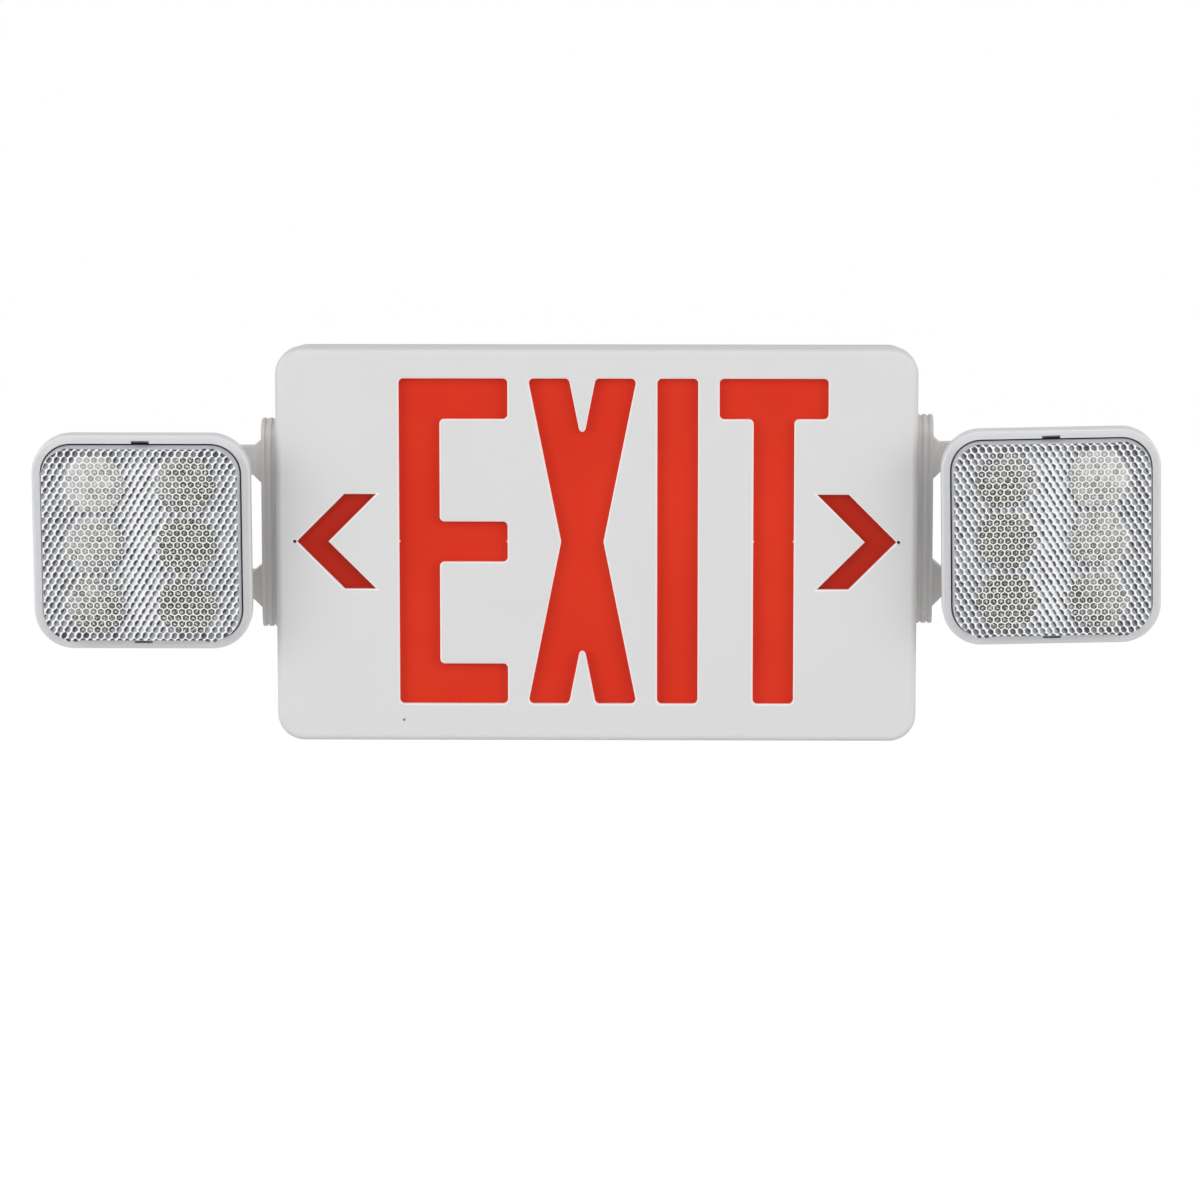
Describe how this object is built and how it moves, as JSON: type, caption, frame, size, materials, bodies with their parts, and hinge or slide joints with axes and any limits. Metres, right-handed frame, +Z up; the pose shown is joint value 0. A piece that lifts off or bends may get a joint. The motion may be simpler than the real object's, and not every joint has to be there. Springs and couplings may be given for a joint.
{
  "type": "emergency exit light",
  "caption": "Wall-mounted lit exit sign with cut-out legend and arrows, and an adjustable square lamp head on a bracket at each side.",
  "frame": {"origin": "centre of the case's back, where the wire entry meets the wall", "axes": "+X to the right seen from the front, +Y into the wall, +Z up; the lit face looks along -Y"},
  "size_m": [0.5253, 0.069, 0.1852],
  "materials": {
    "case_white": "fine satin moulded plastic",
    "legend_red": "translucent red diffuser",
    "base_white": "satin moulded plastic",
    "head_white": "semi-gloss moulded plastic",
    "lens_clear": "clear prismatic plastic",
    "reflector_metal": "vacuum metallised",
    "board_green": "solder mask",
    "board_white": "white solder mask",
    "led_yellow": "phosphor",
    "led_red": "clear red",
    "steel": "zinc plated",
    "core_black": "moulded",
    "sleeve_blue": "shrink sleeve",
    "terminal_green": "moulded",
    "fuse_glass": "clear tube",
    "button_red": "moulded"
  },
  "bodies": {
    "root": {"front_face": "case_white", "red_panel": "legend_red", "housing_frame": "base_white", "back_plate": "base_white", "back_plate_screws": "steel", "upper_light_strip": "board_white", "lower_light_strip": "board_white", "upper_strip_leds": "led_red", "lower_strip_leds": "led_red", "control_board": "board_green", "board_screws": "steel", "transformer": "core_black", "capacitors": "core_black", "terminal_block": "terminal_green", "relay": "core_black", "fuse": "fuse_glass", "battery_pack": "sleeve_blue", "battery_strap": "base_white", "test_switch": "core_black", "charge_indicator": "led_red", "left_bracket": "base_white", "left_bracket_screws": "steel", "left_pivot_pins": "steel", "right_bracket": "base_white", "right_bracket_screws": "steel", "right_pivot_pins": "steel"},
    "left_swivel_body": {"left_swivel": "head_white"},
    "left_head": {"left_head_shell": "head_white", "left_lens": "lens_clear", "left_reflector": "reflector_metal", "left_head_leds": "led_yellow", "left_lamp_board": "board_white", "left_tilt_bolt": "steel", "left_tilt_nut": "steel"},
    "right_swivel_body": {"right_swivel": "head_white"},
    "right_head": {"right_head_shell": "head_white", "right_lens": "lens_clear", "right_reflector": "reflector_metal", "right_head_leds": "led_yellow", "right_lamp_board": "board_white", "right_tilt_bolt": "steel", "right_tilt_nut": "steel"},
    "test_button_body": {"test_button": "button_red"}
  },
  "joints": [
    {"name": "test_button_press", "type": "slide", "parent": "root", "child": "test_button_body", "axis": [0, 0, 1], "range_m": [0, 0.0015], "stiffness_N_per_m": 400},
    {"name": "left_pan", "type": "hinge", "parent": "root", "child": "left_swivel_body", "pos_m": [-0.2114, -0.0155, 0.0073], "axis": [0, 0, 1], "range_deg": [-45, 8]},
    {"name": "left_tilt", "type": "hinge", "parent": "left_swivel_body", "child": "left_head", "pos_m": [-0.2114, -0.0155, 0.0073], "axis": [1, 0, 0], "range_deg": [-23.5, 16.5]},
    {"name": "right_pan", "type": "hinge", "parent": "root", "child": "right_swivel_body", "pos_m": [0.21139, -0.0155, 0.01052], "axis": [-0.0209, 0, 0.9998], "range_deg": [-8, 45]},
    {"name": "right_tilt", "type": "hinge", "parent": "right_swivel_body", "child": "right_head", "pos_m": [0.21139, -0.0155, 0.01052], "axis": [0.9998, 0, 0.0209], "range_deg": [-23.5, 16.5]}
  ]
}
